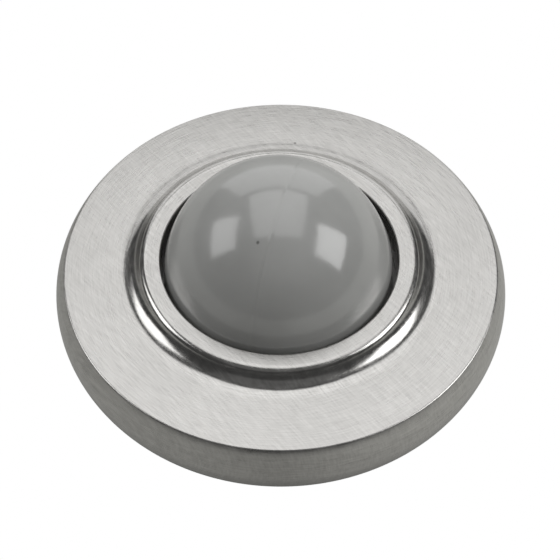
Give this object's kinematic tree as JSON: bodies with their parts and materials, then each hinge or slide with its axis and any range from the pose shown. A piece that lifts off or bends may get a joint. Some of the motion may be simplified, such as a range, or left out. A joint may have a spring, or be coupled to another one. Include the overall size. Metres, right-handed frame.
{
  "type": "round convex door stop",
  "caption": "Round door stop: a satin nickel rose with a raised collar round a grey convex rubber bumper, on a concealed screw-fixed mounting plate.",
  "frame": {"origin": "centre of the mounting plate's back face, on the wall or floor surface that the door stop is fixed to", "axes": "+Z along the bumper's axis, out of the wall towards the door; +Y towards the set screw in the rose's side"},
  "size_m": [0.0636, 0.0636, 0.0507],
  "materials": {
    "satin_nickel": "satin brushed nickel, polished in the groove",
    "grey_rubber": "smooth semi-gloss moulded",
    "plain_steel": "cold rolled",
    "zinc_plate": "bright zinc plated",
    "black_steel": "black oxide",
    "grey_nylon": "moulded nylon"
  },
  "bodies": {
    "mount": {"rose": "satin_nickel", "retaining_plate": "plain_steel", "retaining_screw_1": "zinc_plate", "retaining_screw_2": "zinc_plate", "retaining_screw_3": "zinc_plate", "mounting_plate": "zinc_plate", "wall_screw_1": "zinc_plate", "wall_screw_2": "zinc_plate", "wall_screw_3": "zinc_plate", "wall_anchor_1": "grey_nylon", "wall_anchor_2": "grey_nylon", "wall_anchor_3": "grey_nylon", "set_screw": "black_steel"},
    "bumper": {"rubber_bumper": "grey_rubber"}
  },
  "joints": [
    {"name": "bumper_press", "type": "slide", "parent": "mount", "child": "bumper", "axis": [0, 0, -1], "range_m": [0, 0.0025], "stiffness_N_per_m": 30000, "deforming": ["rubber_bumper"]}
  ]
}
